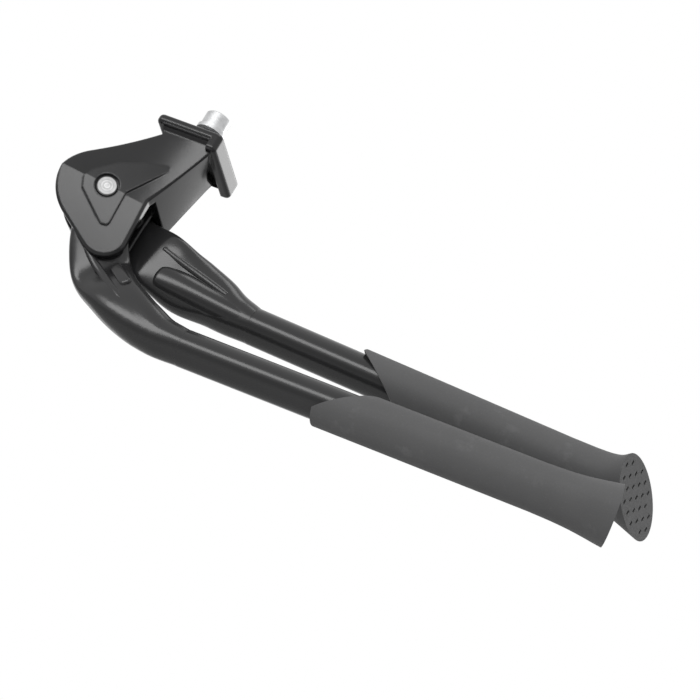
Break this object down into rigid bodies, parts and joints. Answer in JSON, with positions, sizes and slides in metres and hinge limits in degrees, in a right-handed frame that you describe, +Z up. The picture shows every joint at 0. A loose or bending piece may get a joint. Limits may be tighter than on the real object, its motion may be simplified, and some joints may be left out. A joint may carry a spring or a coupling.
{
  "type": "bicycle centre kickstand",
  "caption": "Folding two-leg centre kickstand: cast head with one fixing bolt, geared hinged legs and flared moulded feet, shown parked.",
  "frame": {"origin": "middle of the head's flat top face, on the fixing bolt's axis", "axes": "+Z up along the bolt, +X rearward the way the parked legs point, -Y the left side"},
  "size_m": [0.3203, 0.0724, 0.1401],
  "materials": {
    "black_cast": "satin black powder coat on cast aluminium",
    "black_leg": "satin black powder coat on forged aluminium",
    "foot_plastic": "matte dark grey moulded plastic",
    "spring_steel": "drawn spring wire",
    "pin_steel": "turned steel",
    "bolt_zinc": "bright zinc plating"
  },
  "bodies": {
    "head": {"head": "black_cast", "left_pin": "pin_steel", "right_pin": "pin_steel", "fixing_bolt": "bolt_zinc", "washer": "bolt_zinc", "left_spring": "spring_steel", "right_spring": "spring_steel"},
    "left_leg": {"left_leg": "black_leg", "left_foot_sleeve": "foot_plastic"},
    "right_leg": {"right_leg": "black_leg", "right_foot_sleeve": "foot_plastic"}
  },
  "joints": [
    {"name": "left_leg_fold", "type": "hinge", "parent": "head", "child": "left_leg", "pos_m": [-0.0264, 0, -0.0474], "axis": [-0.2756, 0.9613, 0], "range_deg": [0, 98], "deforming": ["left_spring"]},
    {"name": "right_leg_fold", "type": "hinge", "parent": "head", "child": "right_leg", "pos_m": [-0.0264, 0, -0.0474], "axis": [0.2756, 0.9613, 0], "range_deg": [0, 98], "deforming": ["right_spring"]}
  ],
  "couplings": [
    {"joint": "right_leg_fold", "follows": "left_leg_fold", "ratio": 1}
  ]
}
